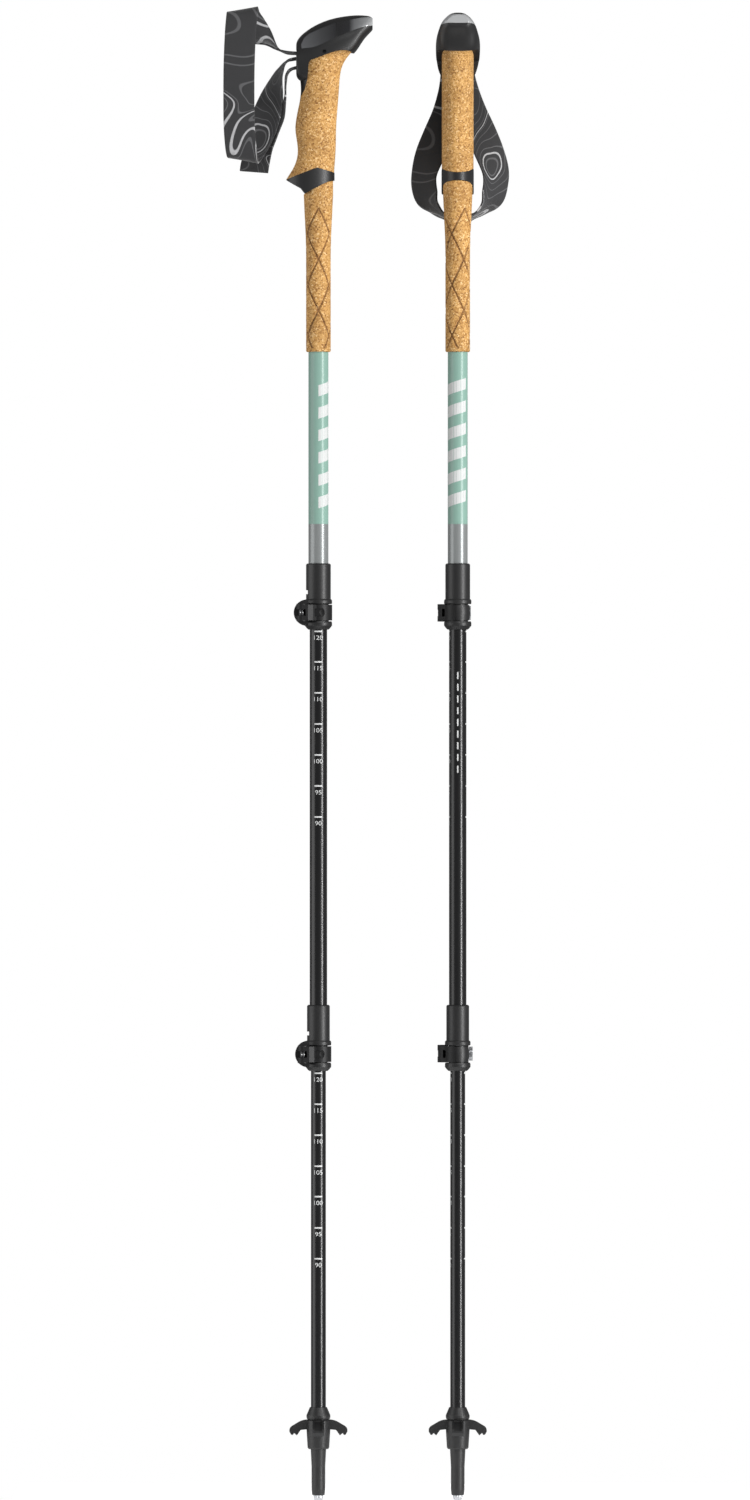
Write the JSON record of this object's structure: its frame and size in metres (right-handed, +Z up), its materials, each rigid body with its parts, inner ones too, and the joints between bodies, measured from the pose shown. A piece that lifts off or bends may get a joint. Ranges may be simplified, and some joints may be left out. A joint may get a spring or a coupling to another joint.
{
  "type": "trekking pole pair",
  "caption": "Pair of telescoping trekking poles with shaped cork grips, wrist straps, lever locks, baskets and carbide tips.",
  "frame": {"origin": "on the left pole's axis, in the middle of its cork grip, where the hand closes", "axes": "+Z up along both poles; +X from the left pole to the right pole, the way the left grip's nose points; the right pole is turned so its nose points along -Y"},
  "size_m": [0.2299, 0.0822, 1.2065],
  "materials": {
    "mint_lacquer": "satin lacquer over bare tube",
    "black_tube": "gloss black anodised",
    "cork": "fine-grained cork, sanded",
    "black_plastic": "fine moulded texture",
    "black_lever": "semi-gloss",
    "grey_plastic": "natural",
    "smoked_window": "smoked clear, polished",
    "webbing": "woven, with light contour-line print",
    "steel": "plain",
    "bright_nut": "knurled, bright",
    "carbide": "ground"
  },
  "bodies": {
    "left_upper": {"left_upper_tube": "mint_lacquer", "left_cork_grip": "cork", "left_grip_collar": "black_plastic", "left_cork_sleeve": "cork", "left_grip_head": "black_plastic", "left_side_windows": "smoked_window", "left_nose_window": "smoked_window", "left_head_pin": "steel", "left_strap_wedge": "black_plastic", "left_strap": "webbing", "left_upper_lock_sleeve": "black_plastic", "left_upper_lock_band": "black_plastic", "left_upper_lock_screw": "steel", "left_upper_lock_pin": "steel"},
    "left_upper_lever": {"left_upper_lock_lever": "black_lever"},
    "left_upper_nut": {"left_upper_lock_nut": "bright_nut"},
    "left_mid_bush": {"left_mid_guide": "grey_plastic"},
    "left_mid": {"left_mid_tube": "black_tube", "left_lower_lock_sleeve": "black_plastic", "left_lower_lock_band": "black_plastic", "left_lower_lock_screw": "steel", "left_lower_lock_pin": "steel"},
    "left_lower_lever": {"left_lower_lock_lever": "black_lever"},
    "left_lower_nut": {"left_lower_lock_nut": "bright_nut"},
    "left_lower_bush": {"left_lower_guide": "grey_plastic"},
    "left_lower": {"left_lower_tube": "black_tube", "left_tip_ferrule": "black_plastic", "left_carbide_tip": "carbide"},
    "left_basket": {"left_basket": "black_plastic"},
    "right_upper": {"right_upper_tube": "mint_lacquer", "right_cork_grip": "cork", "right_grip_collar": "black_plastic", "right_cork_sleeve": "cork", "right_grip_head": "black_plastic", "right_side_windows": "smoked_window", "right_nose_window": "smoked_window", "right_head_pin": "steel", "right_strap_wedge": "black_plastic", "right_strap": "webbing", "right_upper_lock_sleeve": "black_plastic", "right_upper_lock_band": "black_plastic", "right_upper_lock_screw": "steel", "right_upper_lock_pin": "steel"},
    "right_upper_lever": {"right_upper_lock_lever": "black_lever"},
    "right_upper_nut": {"right_upper_lock_nut": "bright_nut"},
    "right_mid_bush": {"right_mid_guide": "grey_plastic"},
    "right_mid": {"right_mid_tube": "black_tube", "right_lower_lock_sleeve": "black_plastic", "right_lower_lock_band": "black_plastic", "right_lower_lock_screw": "steel", "right_lower_lock_pin": "steel"},
    "right_lower_lever": {"right_lower_lock_lever": "black_lever"},
    "right_lower_nut": {"right_lower_lock_nut": "bright_nut"},
    "right_lower_bush": {"right_lower_guide": "grey_plastic"},
    "right_lower": {"right_lower_tube": "black_tube", "right_tip_ferrule": "black_plastic", "right_carbide_tip": "carbide"},
    "right_basket": {"right_basket": "black_plastic"}
  },
  "joints": [
    {"name": "left_mid_slide", "type": "slide", "parent": "left_upper", "child": "left_mid_bush", "axis": [0, 0, 1], "range_m": [0, 0.3]},
    {"name": "left_mid_turn", "type": "hinge", "parent": "left_mid_bush", "child": "left_mid", "pos_m": [0, 0, -0.272], "axis": [0, 0, 1], "continuous": true},
    {"name": "left_lower_slide", "type": "slide", "parent": "left_mid", "child": "left_lower_bush", "axis": [0, 0, 1], "range_m": [0, 0.266]},
    {"name": "left_lower_turn", "type": "hinge", "parent": "left_lower_bush", "child": "left_lower", "pos_m": [0, 0, -0.553], "axis": [0, 0, 1], "continuous": true},
    {"name": "left_basket_turn", "type": "hinge", "parent": "left_lower", "child": "left_basket", "pos_m": [0, 0, -1.05], "axis": [0, 0, 1], "continuous": true},
    {"name": "left_upper_lever_hinge", "type": "hinge", "parent": "left_upper", "child": "left_upper_lever", "pos_m": [-0.0133, -0.0119, -0.3902], "axis": [0, 0, -1], "range_deg": [0, 150]},
    {"name": "left_upper_nut_turn", "type": "hinge", "parent": "left_upper", "child": "left_upper_nut", "pos_m": [-0.0133, 0.0091, -0.3902], "axis": [0, 1, 0], "continuous": true},
    {"name": "left_lower_lever_hinge", "type": "hinge", "parent": "left_mid", "child": "left_lower_lever", "pos_m": [-0.0123, -0.0119, -0.745], "axis": [0, 0, -1], "range_deg": [0, 150]},
    {"name": "left_lower_nut_turn", "type": "hinge", "parent": "left_mid", "child": "left_lower_nut", "pos_m": [-0.0123, 0.0106, -0.745], "axis": [0, 1, 0], "continuous": true},
    {"name": "right_mid_slide", "type": "slide", "parent": "right_upper", "child": "right_mid_bush", "axis": [0, 0, 1], "range_m": [0, 0.3]},
    {"name": "right_mid_turn", "type": "hinge", "parent": "right_mid_bush", "child": "right_mid", "pos_m": [0.112, 0, -0.272], "axis": [0, 0, 1], "continuous": true},
    {"name": "right_lower_slide", "type": "slide", "parent": "right_mid", "child": "right_lower_bush", "axis": [0, 0, 1], "range_m": [0, 0.266]},
    {"name": "right_lower_turn", "type": "hinge", "parent": "right_lower_bush", "child": "right_lower", "pos_m": [0.112, 0, -0.553], "axis": [0, 0, 1], "continuous": true},
    {"name": "right_basket_turn", "type": "hinge", "parent": "right_lower", "child": "right_basket", "pos_m": [0.112, 0, -1.05], "axis": [0, 0, 1], "continuous": true},
    {"name": "right_upper_lever_hinge", "type": "hinge", "parent": "right_upper", "child": "right_upper_lever", "pos_m": [0.1001, 0.0133, -0.3902], "axis": [0, 0, -1], "range_deg": [0, 150]},
    {"name": "right_upper_nut_turn", "type": "hinge", "parent": "right_upper", "child": "right_upper_nut", "pos_m": [0.1211, 0.0133, -0.3902], "axis": [1, 0, 0], "continuous": true},
    {"name": "right_lower_lever_hinge", "type": "hinge", "parent": "right_mid", "child": "right_lower_lever", "pos_m": [0.1001, 0.0123, -0.745], "axis": [0, 0, -1], "range_deg": [0, 150]},
    {"name": "right_lower_nut_turn", "type": "hinge", "parent": "right_mid", "child": "right_lower_nut", "pos_m": [0.1226, 0.0123, -0.745], "axis": [1, 0, 0], "continuous": true},
    {"name": "right_pole_lift", "type": "slide", "parent": "left_upper", "child": "right_upper", "axis": [0, 0, 1], "range_m": [0, 0.3]}
  ]
}
